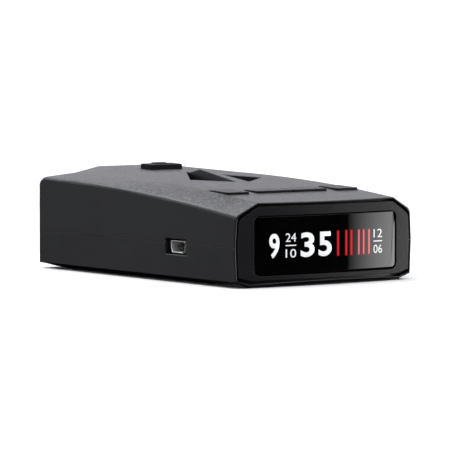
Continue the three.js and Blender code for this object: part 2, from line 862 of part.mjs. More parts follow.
const caseScrew = {
  shank: screwRadius,
  head: screwHeadRadius,
  headTall: screwHeadTall,
  length: screwLength,
};
const keyBoardScrew = {
  shank: smallScrewRadius,
  head: smallHeadRadius,
  headTall: smallHeadTall,
  length: smallScrewLength,
};
const mainBoardScrew = { ...keyBoardScrew, length: boardScrewLength };

// A cross-head screw at (x, s): its head's flat face is at z0, and its shank points up for
// way 1 or down for way -1.
function screw(size, x, s, z0, way) {
  const level = (depth) => z0 + way * depth;
  const between = (a, b) => [Math.min(level(a), level(b)), Math.max(level(a), level(b))];
  const cut = between(-1, 0.4 * size.headTall);
  const reach = 0.6 * size.head;
  const across = block(x - reach, x + reach, s - screwRecess, s + screwRecess, ...cut);
  const down = block(x - screwRecess, x + screwRecess, s - reach, s + reach, ...cut);
  return rod(size.head, x, s, ...between(0, size.headTall), 14)
    .add(rod(size.shank, x, s, ...between(size.headTall / 2, size.headTall + size.length), 10))
    .subtract(across)
    .subtract(down);
}

// ---- Bracket slot and release button ------------------------------------------------------
// The height of the slot's straight floor at s.
function slotLine(s) {
  const front = deckZ(slotFront) - slotTop;
  const back = deckZ(slotBack) - slotTop;
  return front + ((back - front) * (s - slotFront)) / (slotBack - slotFront);
}

// A straight bar along the slot, from depth d0 below its floor line to height d1 above it.
function slotBar(x0, x1, d0, d1) {
  const front = slotLine(slotFront);
  const back = slotLine(slotBack);
  const outline = [
    [slotFront, front - d0],
    [slotBack, back - d0],
    [slotBack, back + d1],
    [slotFront, front + d1],
  ];
  return sideways(outline, Math.min(x0, x1), Math.max(x0, x1));
}

// The well below the release button, grown by a margin, between two heights.
function releaseWell(margin, z0, z1) {
  const grow = releaseFlange + slideGap + margin;
  return block(
    -releaseHalf - grow,
    releaseHalf + grow,
    releaseFront - grow,
    releaseBack + grow,
    z0,
    z1,
  );
}

const cupBack = releaseBack + releaseFlange + slideGap + cupWall;
const hornTopAtCup =
  hornMiddle +
  hornThroatTall / 2 +
  hornWall +
  ((hornMouthTall / 2 - hornThroatTall / 2 - hornWall) * (cupBack - hornThroatS)) / hornLength;
const cupLow = hornTopAtCup + cupClearance;
const springLow = cupLow + slotFloor + springSeatGap;
const flangeLow = deckZ(releaseFront - releaseFlange) - wall - fitGap - releaseFlangeThickness;
const springHigh = flangeLow - springSeatGap;

function bracketChannel() {
  const low = slotLine(releaseMiddle);
  let channel = slotBar(-slotHalf, slotHalf, slotFloor, 0);
  for (const side of signs) {
    const ribEdge = slotHalf - slotSide;
    const rib = slotBar(side * ribEdge, side * slotHalf, slotFloor, slotHeight - 0.9);
    const groove = slotBar(side * (ribEdge - slotRelief), side * ribEdge, slotRelief, 1);
    channel = channel.add(rib).subtract(groove);
  }
  const cup = releaseWell(cupWall, cupLow, low - slotFloor / 2);
  const well = releaseWell(0, cupLow + slotFloor, low + slotHeight);
  return channel.add(cup).subtract(well);
}

function releaseButton() {
  const skirt = wall + fitGap + 0.8;
  const ends = [releaseFront, releaseBack];
  const cap = deckLayer(-releaseHalf, releaseHalf, ...ends, -releaseProud, skirt, 2);
  const ridge = deckLayer(
    -releaseRidgeHalf,
    releaseRidgeHalf,
    releaseMiddle,
    releaseBack - 0.6,
    -releaseProud - releaseRidgeHeight,
    0,
    1,
  );
  const flange = block(
    -releaseHalf - releaseFlange,
    releaseHalf + releaseFlange,
    releaseFront - releaseFlange,
    releaseBack + releaseFlange,
    flangeLow,
    flangeLow + releaseFlangeThickness,
  );
  const postLength = 0.43 * (springHigh - springLow - releaseTravel);
  const postTop = flangeLow + releaseFlangeThickness / 2;
  const post = rod(springInside - slideGap, 0, releaseMiddle, flangeLow - postLength, postTop, 12);
  return cap.add(ridge).add(flange).add(post);
}

const springInside = springRadius - 2 * springWire;

class SpringCurve extends THREE.Curve {
  getPoint(t, target = new THREE.Vector3()) {
    const angle = 2 * Math.PI * springTurns * t;
    const radius = springRadius - springWire;
    const low = springLow + springWire;
    const high = springHigh - springWire;
    const y = along(releaseMiddle) + radius * Math.sin(angle);
    return target.set(radius * Math.cos(angle), y, low + (high - low) * t);
  }
}

function releaseSpring() {
  const ring = new THREE.Shape();
  ring.absarc(0, 0, springWire, 0, 2 * Math.PI);
  const coil = new THREE.ExtrudeGeometry(ring, {
    steps: springTurns * 12,
    extrudePath: new SpringCurve(),
    curveSegments: 5,
  });
  return toSolid(coil);
}

// ---- Power socket -------------------------------------------------------------------------
// The socket's section narrows towards the bottom; it is drawn in (y, z) and runs along X.
function socketSection(grow) {
  const top = socketWidth / 2 + grow;
  const bottom = socketWidth / 2 - 0.65 + grow;
  const high = socketHeight + socketTall / 2 + grow;
  const low = socketHeight - socketTall / 2 - grow;
  const s = socketFromFront;
  return [
    [s - bottom, low],
    [s + bottom, low],
    [s + top, socketHeight - 0.3],
    [s + top, high],
    [s - top, high],
    [s - top, socketHeight - 0.3],
  ];
}

const socketMouth = -halfWidth + socketRecess;
const socketBack = socketMouth + socketDepth;

function usbSocket() {
  const outside = sideways(socketSection(0), socketMouth, socketBack);
  const inside = sideways(socketSection(-socketSheet), socketMouth - 1, socketBack - socketSheet);
  return outside.subtract(inside);
}

function usbInsulator() {
  const back = block(
    socketBack - 3,
    socketBack - socketSheet - fitGap,
    socketFromFront - 2.4,
    socketFromFront + 2.4,
    socketHeight - 1.1,
    socketHeight + 1.1,
  );
  const tongue = block(
    socketMouth + 1.6,
    socketBack - 2,
    socketFromFront - 1.9,
    socketFromFront + 1.9,
    socketHeight - 0.35,
    socketHeight + 0.45,
  );
  return back.add(tongue);
}

// ---- Electronics --------------------------------------------------------------------------
function mainBoard() {
  const half = mainBoardHalf;
  let plate = block(-half, half, mainBoardFront, mainBoardBack, boardBottom, boardTop);
  const hole = [boardBottom - 1, boardTop + 1, 10];
  for (const s of boardScrewRows) {
    for (const side of signs) {
      plate = plate.subtract(rod(smallScrewRadius + fitGap, side * boardScrewX, s, ...hole));
    }
  }
  return plate;
}

function processorChip() {
  const low = boardTop + fitGap;
  const s0 = mainBoardFront + chipSetback;
  return block(-chipSize / 2, chipSize / 2, s0, s0 + chipSize, low, low + chipThickness);
}

function rfShield() {
  const low = boardTop + fitGap;
  const half = shieldWidth / 2;
  const s1 = mainBoardBack - shieldSetback;
  const s0 = s1 - shieldLength;
  const outside = block(-half, half, s0, s1, low, low + shieldTall);
  const room = half - shieldSheet;
  const top = low + shieldTall - shieldSheet;
  const inside = block(-room, room, s0 + shieldSheet, s1 - shieldSheet, low - 1, top);
  return outside.subtract(inside);
}

// A box whose end at s1 has another width and height.
function tapered(width0, tall0, width1, tall1, s0, s1) {
  const form = new THREE.BoxGeometry(2, 2, 2);
  const position = form.attributes.position;
  for (let i = 0; i < position.count; i += 1) {
    const far = position.getY(i) > 0;
    const x = (position.getX(i) * (far ? width1 : width0)) / 2;
    const z = hornMiddle + (position.getZ(i) * (far ? tall1 : tall0)) / 2;
    position.setXYZ(i, x, along(far ? s1 : s0), z);
  }
  return toSolid(form);
}

function hornAntenna() {
  const grow = 2 * hornWall;
  const flare = tapered(
    hornThroatWidth + grow,
    hornThroatTall + grow,
    hornMouthWidth,
    hornMouthTall,
    hornThroatS,
    hornMouthS,
  );
  const mixerBlock = tapered(
    hornThroatWidth + grow,
    hornThroatTall + grow,
    hornThroatWidth + grow,
    hornThroatTall + grow,
    hornThroatS - hornBlock,
    hornThroatS + 0.5,
  );
  const hollow = tapered(
    hornThroatWidth,
    hornThroatTall,
    hornMouthWidth - grow,
    hornMouthTall - grow,
    hornThroatS,
    hornMouthS,
  );
  const mouth = tapered(
    hornMouthWidth - grow,
    hornMouthTall - grow,
    hornMouthWidth - grow,
    hornMouthTall - grow,
    hornMouthS - 0.01,
    hornMouthS + 2,
  );
  const guide = tapered(
    hornThroatWidth,
    hornThroatTall,
    hornThroatWidth,
    hornThroatTall,
    hornThroatS - hornBlock + hornWall,
    hornThroatS + 0.01,
  );
  return flare.add(mixerBlock).subtract(hollow).subtract(mouth).subtract(guide);
}

function rearLens() {
  const s1 = bodyLength - 0.15;
  const face = frontal(
    roundedRect(lensX - lensWidth / 2, lensX + lensWidth / 2, lensLow, lensHigh, 0.9),
    bodyLength - wall - fitGap - 0.6,
    s1,
  );
  const flange = block(
    lensX - lensWidth / 2 - 1.2,
    lensX + lensWidth / 2 + 1.2,
    bodyLength - wall - fitGap - 1,
    bodyLength - wall - fitGap,
    lensLow - 1.2,
    lensHigh + 1.2,
  );
  return face.add(flange);
}

const sensorBack = bodyLength - wall - fitGap - 1 - fitGap;
const sensorMiddle = (lensLow + lensHigh) / 2;

function laserSensor() {
  const canFront = sensorBack - sensorDome;
  const can = block(
    lensX - sensorCanWidth / 2,
    lensX + sensorCanWidth / 2,
    canFront - sensorCan,
    canFront,
    sensorMiddle - sensorCanTall / 2,
    sensorMiddle + sensorCanTall / 2,
  );
  const bulge = new THREE.SphereGeometry(sensorDome, 12, 8);
  bulge.translate(lensX, along(canFront), sensorMiddle);
  return can.add(toSolid(bulge));
}

function sensorBoard() {
  const s1 = sensorBack - sensorDome - sensorCan - fitGap;
  return block(lensX - 5, lensX + 5, s1 - 1, s1, partingHeight - 3, lensHigh + 1);
}

// A closed profile of (radius, height) points turned about the upright axis at s.
function turned(points, s, sides = 24) {
  const profile = points.map(([radius, z]) => new THREE.Vector2(radius, z));
  profile.push(profile[0].clone());
  const lathe = new THREE.LatheGeometry(profile, sides);
  lathe.rotateX(Math.PI / 2);
  lathe.translate(0, along(s), 0);
  return toSolid(lathe);
}

const speakerLow = wall + padDrop + fitGap;

function speakerFrame() {
  const r = speakerRadius;
  const low = speakerLow;
  const high = low + speakerTall;
  const basket = [
    [r, low],
    [r, low + 1.2],
    [0.55 * r, high],
    [0, high],
    [0, high - 0.8],
    [0.5 * r, high - 0.8],
    [r - 1.6, low + 0.8],
    [r - 1.6, low],
  ];
  return turned(basket, speakerFromFront);
}

function speakerCone() {
  const r = speakerRadius - 1.6 - fitGap;
  const low = speakerLow + 0.2;
  const cone = [
    [r, low],
    [r, low + 0.4],
    [0.45 * r, low + 2.1],
    [0, low + 1.6],
    [0, low + 1.2],
    [0.45 * r, low + 1.7],
  ];
  return turned(cone, speakerFromFront);
}

function ratingLabel() {
  const half = labelWidth / 2;
  const s0 = bodyLength - labelFromRear;
  return block(-half, half, s0, s0 + labelLength, labelSink, labelSink + labelThickness);
}

// ---- The assembly -------------------------------------------------------------------------
place('upper_case', upperCase(), caseBlack);
place('lower_case', lowerCase(), caseBlack);
place('front_bezel', frontBezel(), bezelBlack);
place('display_window', displayWindow(), gloss);
place('display_panel', displayLayer(panelFront, panelThickness), gloss);
place('display_board', displayLayer(displayBoardFront, boardThickness), board);
place('display_holder', displayHolder(), rubberBlack);
place('display_flex', displayFlex(), flexAmber);
for (const key of keys) {
  place(`${key.name}_key`, keyCap(key), keyBlack);
  place(`${key.name}_switch`, tactSwitch(key), chipBlack);
  place(`${key.name}_plunger`, switchPlunger(key), steel);
}
place('key_board', keyBoard(), board);
signs.forEach((side, i) => {
  const head = keyBoardTop - boardThickness - smallHeadTall - 0.1;
  const solid = screw(keyBoardScrew, side * keyPostX, keyPostS, head, 1);
  place(`key_board_screw_${i + 1}`, solid, steel);
});
place('bracket_channel', bracketChannel(), rubberBlack);
place('release_button', releaseButton(), rubberBlack);
place('release_spring', releaseSpring(), steel);
place('usb_socket', usbSocket(), steel);
place('usb_insulator', usbInsulator(), chipBlack);
place('main_board', mainBoard(), board);
place('processor_chip', processorChip(), chipBlack);
place('rf_shield', rfShield(), steel);
place('horn_antenna', hornAntenna(), zinc);
place('rear_lens', rearLens(), lensRed);
place('laser_sensor', laserSensor(), chipBlack);
place('sensor_board', sensorBoard(), board);
place('speaker_frame', speakerFrame(), steel);
place('speaker_cone', speakerCone(), rubberBlack);
place('rating_label', ratingLabel(), paper);

// Four screws of one kind, one at each corner.
function placeScrews(name, size, rows, x, head, way) {
  const corners = rows.flatMap((s) => signs.map((side) => [side * x, s]));
  corners.forEach(([cornerX, s], i) => {
    place(`${name}_${i + 1}`, screw(size, cornerX, s, head, way), steel);
  });
}

placeScrews('case_screw', caseScrew, caseScrewRows, caseScrewX, screwSink, 1);
const boardHead = boardTop + smallHeadTall + 0.1;
placeScrews('board_screw', mainBoardScrew, boardScrewRows, boardScrewX, boardHead, -1);

export default detector;
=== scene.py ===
# The looks of a windscreen radar detector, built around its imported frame.
# Metres, the display faces -Y, +Z is up.
import json
import math

import bmesh
import bpy
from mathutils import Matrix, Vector
from mathutils.bvhtree import BVHTree

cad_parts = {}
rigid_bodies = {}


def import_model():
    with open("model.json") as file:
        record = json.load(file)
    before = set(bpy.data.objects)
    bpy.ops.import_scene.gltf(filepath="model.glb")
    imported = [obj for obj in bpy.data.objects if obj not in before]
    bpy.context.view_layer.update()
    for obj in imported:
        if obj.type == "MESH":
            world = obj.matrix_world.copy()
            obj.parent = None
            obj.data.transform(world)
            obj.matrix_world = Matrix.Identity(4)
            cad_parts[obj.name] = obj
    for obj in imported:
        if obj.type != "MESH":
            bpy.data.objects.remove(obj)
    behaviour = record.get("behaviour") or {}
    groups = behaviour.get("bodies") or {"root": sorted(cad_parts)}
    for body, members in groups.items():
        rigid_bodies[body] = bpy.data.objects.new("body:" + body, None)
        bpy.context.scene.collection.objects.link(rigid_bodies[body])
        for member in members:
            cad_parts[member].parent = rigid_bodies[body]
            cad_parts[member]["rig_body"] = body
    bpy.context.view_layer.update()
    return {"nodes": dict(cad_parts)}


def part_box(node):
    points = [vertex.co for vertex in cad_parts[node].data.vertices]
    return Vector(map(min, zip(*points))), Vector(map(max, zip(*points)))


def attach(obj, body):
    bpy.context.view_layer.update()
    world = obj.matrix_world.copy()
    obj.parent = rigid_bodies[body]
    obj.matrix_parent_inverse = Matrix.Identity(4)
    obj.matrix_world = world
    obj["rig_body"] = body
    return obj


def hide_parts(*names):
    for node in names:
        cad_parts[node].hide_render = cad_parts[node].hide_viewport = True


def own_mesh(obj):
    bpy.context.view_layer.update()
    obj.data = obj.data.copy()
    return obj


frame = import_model()
mm = 0.001
print("frame loaded:", len(frame["nodes"]), "nodes")


def linear(hexColour):
    # sRGB hex to the linear values that a shader takes
    channels = [int(hexColour[i:i + 2], 16) / 255 for i in (1, 3, 5)]
    return [c / 12.92 if c <= 0.04045 else ((c + 0.055) / 1.055) ** 2.4 for c in channels] + [1]


def addNode(tree, kind, inputs=None, stops=(), **settings):
    # a node with its settings; an input that is a socket is linked, anything else is its value
    # stops are the (position, colour) pairs of a colour ramp
    node = tree.nodes.new(kind)
    for name, value in settings.items():
        setattr(node, name, value)
    for name, value in (inputs or {}).items():
        if isinstance(value, bpy.types.NodeSocket):
            tree.links.new(value, node.inputs[name])
        else:
            node.inputs[name].default_value = value
    if stops:
        elements = node.color_ramp.elements
        while len(elements) < len(stops):
            elements.new(0.5)
        for element, (position, colour) in zip(elements, stops):
            element.position = position
            element.color = colour
    return node


def startMaterial(name):
    material = bpy.data.materials.new(name)
    material.use_nodes = True
    tree = material.node_tree
    tree.nodes.clear()
    output = addNode(tree, "ShaderNodeOutputMaterial")
    place = addNode(tree, "ShaderNodeTexCoord").outputs["Object"]
    return material, tree, output, place


def finishMaterial(tree, output, shader):
    tree.links.new(shader.outputs[0], output.inputs["Surface"])


def perMetre(sizeInMm):
    # the scale of a pattern whose features are this many millimetres apart
    return 1 / (sizeInMm * mm)


def linearStops(positions, colours):
    # the stops of a ramp from sRGB hex colours
    return [(position, linear(colour)) for position, colour in zip(positions, colours)]


grainLook = {
    "detail": 2,
    "softness": 0.6,
    "cloud": 18,  # size of the slow changes of shade, mm
    "shade": (0.12, 0.42),  # pattern values of the two blacks
    "upward": (0.5, 0.85),  # how far a face looks up, from a side to the top
    "paintedGlintPits": (0.48, 0.72),  # pit heights from no painted glint to full painted glint
    "worn": (0.3, 0.7),  # pit heights from the smoothest to the roughest
    "spread": 0.06,  # change of roughness either way
}


def mouldedAbs(name, look):
    # ABS moulded in a spark-eroded tool: the eye sees matt black sides and a grain on top whose sparkle
    # is a painted glint
    # real pits are about 0.1 mm apart, drawn coarser here so that they show
    material, tree, output, place = startMaterial(name)
    pits = addNode(tree, "ShaderNodeTexNoise", {
        "Vector": place, "Scale": perMetre(look["grain"]),
        "Detail": grainLook["detail"], "Roughness": grainLook["softness"]})
    clouds = addNode(tree, "ShaderNodeTexNoise", {
        "Vector": place, "Scale": perMetre(grainLook["cloud"]), "Detail": grainLook["detail"]})
    mixed = addNode(tree, "ShaderNodeMath", {0: pits.outputs["Fac"], 1: clouds.outputs["Fac"]},
                    operation="MULTIPLY")
    plain = addNode(tree, "ShaderNodeValToRGB", {"Fac": mixed.outputs[0]},
                    stops=linearStops(grainLook["shade"], (look["low"], look["high"])))
    # faces that look up carry the deeper grain, as a tool is textured where it opens; their pit tops
    # also get a painted glint, a paler colour standing in for light grazing the top
    facing = addNode(tree, "ShaderNodeNewGeometry").outputs["Normal"]
    upward = addNode(tree, "ShaderNodeSeparateXYZ", {"Vector": facing}).outputs["Z"]
    upwardForGrainAndGlint = addNode(tree, "ShaderNodeMapRange", {
        "Value": upward, "From Min": grainLook["upward"][0], "From Max": grainLook["upward"][1]})
    # painted glint: the pit tops of upward faces are mixed towards a paler colour
    spark = addNode(tree, "ShaderNodeMapRange", {
        "Value": pits.outputs["Fac"], "From Min": grainLook["paintedGlintPits"][0],
        "From Max": grainLook["paintedGlintPits"][1], "To Max": look["paintedGlintStrength"]})
    paintedGlintShare = addNode(tree, "ShaderNodeMath", {0: spark.outputs[0], 1: upwardForGrainAndGlint.outputs[0]},
                     operation="MULTIPLY")
    colour = addNode(tree, "ShaderNodeMix", {"Factor": paintedGlintShare.outputs[0]}, data_type="RGBA")
    tree.links.new(plain.outputs["Color"], colour.inputs[6])
    colour.inputs[7].default_value = linear(look["paintedGlintColour"])
    rough = addNode(tree, "ShaderNodeMapRange", {
        "Value": pits.outputs["Fac"], "From Min": grainLook["worn"][0], "From Max": grainLook["worn"][1],
        "To Min": look["roughness"] - grainLook["spread"],
        "To Max": look["roughness"] + grainLook["spread"]})
    deep = addNode(tree, "ShaderNodeMapRange", {
        "Value": upwardForGrainAndGlint.outputs[0], "To Min": look["sideGrain"], "To Max": 1})
    bump = addNode(tree, "ShaderNodeBump", {
        "Height": pits.outputs["Fac"], "Strength": deep.outputs[0], "Distance": look["depth"] * mm})
    shader = addNode(tree, "ShaderNodeBsdfPrincipled", {
        "Base Color": colour.outputs[2], "Roughness": rough.outputs[0], "IOR": 1.53,
        "Specular IOR Level": look["specular"], "Normal": bump.outputs[0]})
    finishMaterial(tree, output, shader)
    return material


polishLook = {
    "roughness": 0.03,
    "wave": 14,  # mm from one polishing wave to the next
    "shade": (0.3, 0.7),
    "pale": "#050506",
    "depth": 0.02,  # mm
    "strength": 0.4,
}


def castAcrylic(name, colour):
    # polished acrylic, smoked almost black: the eye sees a mirror-like black with faint polishing waves
    material, tree, output, place = startMaterial(name)
    waves = addNode(tree, "ShaderNodeTexNoise", {
        "Vector": place, "Scale": perMetre(polishLook["wave"]), "Detail": 1})
    tint = addNode(tree, "ShaderNodeValToRGB", {"Fac": waves.outputs["Fac"]},
                   stops=linearStops(polishLook["shade"], (colour, polishLook["pale"])))
    bump = addNode(tree, "ShaderNodeBump", {
        "Height": waves.outputs["Fac"], "Strength": polishLook["strength"],
        "Distance": polishLook["depth"] * mm})
    shader = addNode(tree, "ShaderNodeBsdfPrincipled", {
        "Base Color": tint.outputs["Color"], "Roughness": polishLook["roughness"], "IOR": 1.49,
        "Normal": bump.outputs[0]})
    finishMaterial(tree, output, shader)
    return material


segmentLook = {"cell": 0.5, "shade": (0.3, 0.6), "weakest": 0.9, "glow": 1.0}  # cell in mm


def litSegment(name, colour):
    # a lit display segment seen through the polished window: it glows evenly under a glossy surface
    material, tree, output, place = startMaterial(name)
    cells = addNode(tree, "ShaderNodeTexNoise", {
        "Vector": place, "Scale": perMetre(segmentLook["cell"]), "Detail": 1})
    full = linear(colour)
    weak = [segmentLook["weakest"] * c for c in full[:3]] + [1]
    light = addNode(tree, "ShaderNodeValToRGB", {"Fac": cells.outputs["Fac"]},
                    stops=list(zip(segmentLook["shade"], (weak, full))))
    shader = addNode(tree, "ShaderNodeBsdfPrincipled", {
        "Base Color": linear(polishLook["pale"]), "Roughness": polishLook["roughness"], "IOR": 1.49,
        "Emission Color": light.outputs["Color"], "Emission Strength": segmentLook["glow"]})
    finishMaterial(tree, output, shader)
    return material


metalLook = {
    "detail": 4,
    "shade": (0.35, 0.65),
    "dullest": 0.8,  # share of the bright colour
    "smoother": 0.08,  # roughness below and above the mean
    "rougher": 0.12,
    "depth": 0.03,  # mm
    "strength": 0.5,
}


def platedMetal(name, colour, roughness, grain, stretch=(1, 1, 1), metallic=1.0):
    # sheet or turned metal, plated: the eye sees bright metal with fine drawn or cast marks
    material, tree, output, place = startMaterial(name)
    scaled = addNode(tree, "ShaderNodeMapping", {"Vector": place, "Scale": stretch})
    marks = addNode(tree, "ShaderNodeTexNoise", {
        "Vector": scaled.outputs[0], "Scale": perMetre(grain), "Detail": metalLook["detail"]})
    bright = linear(colour)
    dull = [metalLook["dullest"] * c for c in bright[:3]] + [1]
    shade = addNode(tree, "ShaderNodeValToRGB", {"Fac": marks.outputs["Fac"]},
                    stops=list(zip(metalLook["shade"], (dull, bright))))
    rough = addNode(tree, "ShaderNodeMapRange", {
        "Value": marks.outputs["Fac"], "To Min": roughness - metalLook["smoother"],
        "To Max": roughness + metalLook["rougher"]})
    bump = addNode(tree, "ShaderNodeBump", {
        "Height": marks.outputs["Fac"], "Strength": metalLook["strength"],
        "Distance": metalLook["depth"] * mm})
    shader = addNode(tree, "ShaderNodeBsdfPrincipled", {
        "Base Color": shade.outputs["Color"], "Metallic": metallic, "Roughness": rough.outputs[0],
        "Normal": bump.outputs[0]})
    finishMaterial(tree, output, shader)
    return material


mouldingLook = {"detail": 3, "shade": (0.35, 0.65)}


def plainMoulding(name, low, high, roughness, grain, depth=0.02):
    # a small moulded or printed part: the eye sees an even colour with slight mottling
    material, tree, output, place = startMaterial(name)
    mottle = addNode(tree, "ShaderNodeTexNoise", {
        "Vector": place, "Scale": perMetre(grain), "Detail": mouldingLook["detail"]})
    colour = addNode(tree, "ShaderNodeValToRGB", {"Fac": mottle.outputs["Fac"]},
                     stops=linearStops(mouldingLook["shade"], (low, high)))
    bump = addNode(tree, "ShaderNodeBump", {
        "Height": mottle.outputs["Fac"], "Strength": 1, "Distance": depth * mm})
    shader = addNode(tree, "ShaderNodeBsdfPrincipled", {
        "Base Color": colour.outputs["Color"], "Roughness": roughness, "IOR": 1.5,
        "Normal": bump.outputs[0]})
    finishMaterial(tree, output, shader)
    return material


# grain and depth are the spacing and the depth of the pits, in mm; the paler colour and its strength
# give the painted glint on the pit tops of upward faces
caseSurface = {
    "low": "#0c0d10", "high": "#15161b", "paintedGlintColour": "#6c6e7a", "paintedGlintStrength": 0.7,
    "roughness": 0.38, "specular": 0.42, "grain": 0.8, "depth": 0.3, "sideGrain": 0.0}
bezelSurface = {
    "low": "#0d0c0f", "high": "#161518", "paintedGlintColour": "#3a3a40", "paintedGlintStrength": 0.5,
    "roughness": 0.5, "specular": 0.22, "grain": 0.6, "depth": 0.12, "sideGrain": 0.5}
keySurface = {
    "low": "#08080a", "high": "#101114", "paintedGlintColour": "#55565e", "paintedGlintStrength": 0.6,
    "roughness": 0.42, "specular": 0.2, "grain": 0.6, "depth": 0.1, "sideGrain": 0.1}
releaseSurface = {
    "low": "#030304", "high": "#08080a", "paintedGlintColour": "#121214", "paintedGlintStrength": 0.4,
    "roughness": 0.6, "specular": 0.15, "grain": 0.5, "depth": 0.06, "sideGrain": 0.3}
materials = {
    "caseAbs": mouldedAbs("spark eroded ABS, case", caseSurface),
    "bezelAbs": mouldedAbs("spark eroded ABS, bezel", bezelSurface),
    "keyAbs": mouldedAbs("fine moulded ABS, keys", keySurface),
    "releaseAbs": mouldedAbs("moulded acetal, release button", releaseSurface),
    "windowAcrylic": castAcrylic("smoked polished acrylic", "#020203"),
    "whiteSegment": litSegment("lit white segment", "#f4f6f8"),
    "redSegment": litSegment("lit red segment", "#b80f1c"),
    "redCore": litSegment("bright middle of a lit red segment", "#d8343e"),
    # the palest middle, used on the last bars, is a painted reflection of the window's sheen
    "coreWithPaintedSheen": litSegment("lit red segment middle with painted sheen", "#f0868a"),
    # a satin haze over the plating, so not fully metallic
    "shellNickel": platedMetal("satin nickel plated drawn steel", "#f4f3f0", 0.4, 0.6, (1, 6, 6), 0.8),
    "insulatorNylon": plainMoulding("moulded glass filled nylon", "#0c0c0d", "#161617", 0.5, 0.5),
    "lensAcrylic": castAcrylic("dark red polished acrylic", "#1a0206"),
    "boardLaminate": plainMoulding("solder masked glass laminate", "#123d25", "#1c5a38", 0.35, 1.2),
    "chipEpoxy": plainMoulding("moulded black epoxy", "#101011", "#1c1c1e", 0.5, 0.4),
    "panelGlass": castAcrylic("black display glass", "#040406"),
    "channelAcetal": plainMoulding("moulded black acetal", "#020203", "#050506", 0.8, 0.8),
    "holderAbs": plainMoulding("smooth moulded black ABS", "#111113", "#1c1c1f", 0.5, 0.8),
    "flexPolyimide": plainMoulding("amber polyimide film", "#8a4c12", "#b06a20", 0.3, 2.5),
    "springSteel": platedMetal("drawn spring steel wire", "#9c9da0", 0.25, 0.3),
    "tinPlate": platedMetal("pressed tin plate", "#c4c5c6", 0.3, 1.5),
    "hornZinc": platedMetal("die cast zinc", "#8e9093", 0.45, 0.9),
    "conePaper": plainMoulding("pressed black paper pulp", "#121212", "#262524", 0.9, 0.35, 0.06),
    "labelFilm": plainMoulding("matt silver polyester film", "#8d8f92", "#a9abae", 0.45, 3),
    "screwZinc": platedMetal("zinc plated steel, screws", "#8a8b8c", 0.35, 0.5),
}
print("materials made:", len(materials))


refineLook = {
    "weld": 0.004,  # points closer than this become one, mm
    "rim": 0.01,  # a point this near the seam's height belongs to its rim, mm
    "flat": 0.6,  # facets this near to one plane become one face, degrees
    "angle": 28,  # edges sharper than this are rounded, degrees
    "segments": 3,
    "smooth": 32,  # shading stays sharp past this, degrees
}


def refine(node, look, seam=None, share=None):
    # copies a node's faceted form and gives its edges a real radius
    # seam is (height of the rim in the frame, height it is drawn to) on the case halves
    # share(edge) gives the part of the full radius that an edge takes
    mesh = frame["nodes"][node].data.copy()
    mesh.name = node + "_form"
    mesh.materials.clear()
    shape = bmesh.new()
    shape.from_mesh(mesh)
    bmesh.ops.remove_doubles(shape, verts=shape.verts, dist=refineLook["weld"] * mm)
    if seam:
        for vert in shape.verts:
            if abs(vert.co.z - seam[0]) < refineLook["rim"] * mm:
                vert.co.z = seam[1]
    flat = math.radians(refineLook["flat"])
    bmesh.ops.dissolve_limit(shape, angle_limit=flat, verts=shape.verts, edges=shape.edges)
    weight = shape.edges.layers.float.new("bevel_weight_edge")
    sharpest = math.radians(look.get("angle", refineLook["angle"]))
    for edge in shape.edges:
        if len(edge.link_faces) == 2 and edge.calc_face_angle(0) > sharpest:
            edge[weight] = share(edge) if share else 1
    shape.to_mesh(mesh)
    shape.free()
    piece = bpy.data.objects.new(node + "_finish", mesh)
    bpy.context.scene.collection.objects.link(piece)
    if look["edge"]:
        bevel = piece.modifiers.new("rounded edges", "BEVEL")
        bevel.width = look["edge"] * mm
        bevel.segments = look.get("segments", refineLook["segments"])
        bevel.limit_method = "WEIGHT"
        bevel.use_clamp_overlap = False
        bevel.miter_outer = "MITER_ARC"
    applyModifiers(piece)
    smoothByAngle(piece, refineLook["smooth"])
    piece.modifiers.new("even shading", "WEIGHTED_NORMAL").keep_sharp = True
    applyModifiers(piece)
    piece.data.materials.append(materials[look["material"]])
    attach(piece, frame["nodes"][node]["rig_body"])
    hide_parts(node)
    return piece


def applyModifiers(piece):
    bpy.context.view_layer.update()
    evaluated = piece.evaluated_get(bpy.context.evaluated_depsgraph_get())
    baked = bpy.data.meshes.new_from_object(evaluated)
    piece.modifiers.clear()
    piece.data = baked


def smoothByAngle(piece, degrees):
    for face in piece.data.polygons:
        face.use_smooth = True
    piece.data.set_sharp_from_angle(angle=math.radians(degrees))


caseLook = {
    "material": "caseAbs",
    "slot": "case_plastic",
    "edge": 0.3,  # radius of its edges, mm
    "slotToTip": 3,  # front of the bracket slot to the tip of the arrow's recess, mm
    "tipShare": 0.1,  # radius there as a share
    "tipHalf": 3.2,  # the share holds this far to each side of the tip, mm
    "tipReach": 2,  # and this far before and behind it, mm
    "seamShare": 0.15,  # radius along the seam as a share of that
    "frameGap": 0.3,  # between the halves in the frame, mm
    "gap": 0.07,  # and as it looks when they are screwed together, mm
    "rim": 0.001,  # an edge this near the seam's height is its rim, mm
}
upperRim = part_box("upper_case")[0].z
lowerRim = upperRim - caseLook["frameGap"] * mm
shut = (caseLook["frameGap"] - caseLook["gap"]) / 2 * mm
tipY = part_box("bracket_channel")[0].y + caseLook["slotToTip"] * mm


def caseShare(height):
    # the rims along the seam stay nearly sharp, so that it shows as a thin line,
    # and so does the arrow's tip, where edges crowd together
    def share(edge):
        if all(abs(vert.co.z - height) < caseLook["rim"] * mm for vert in edge.verts):
            return caseLook["seamShare"]
        atTip = any(
            abs(vert.co.x) < caseLook["tipHalf"] * mm
            and abs(vert.co.y - tipY) < caseLook["tipReach"] * mm
            for vert in edge.verts)
        return caseLook["tipShare"] if atTip else 1
    return share


refine("upper_case", caseLook, (upperRim, upperRim - shut), caseShare(upperRim - shut))
refine("lower_case", caseLook, (lowerRim, lowerRim + shut), caseShare(lowerRim + shut))
print("case made")

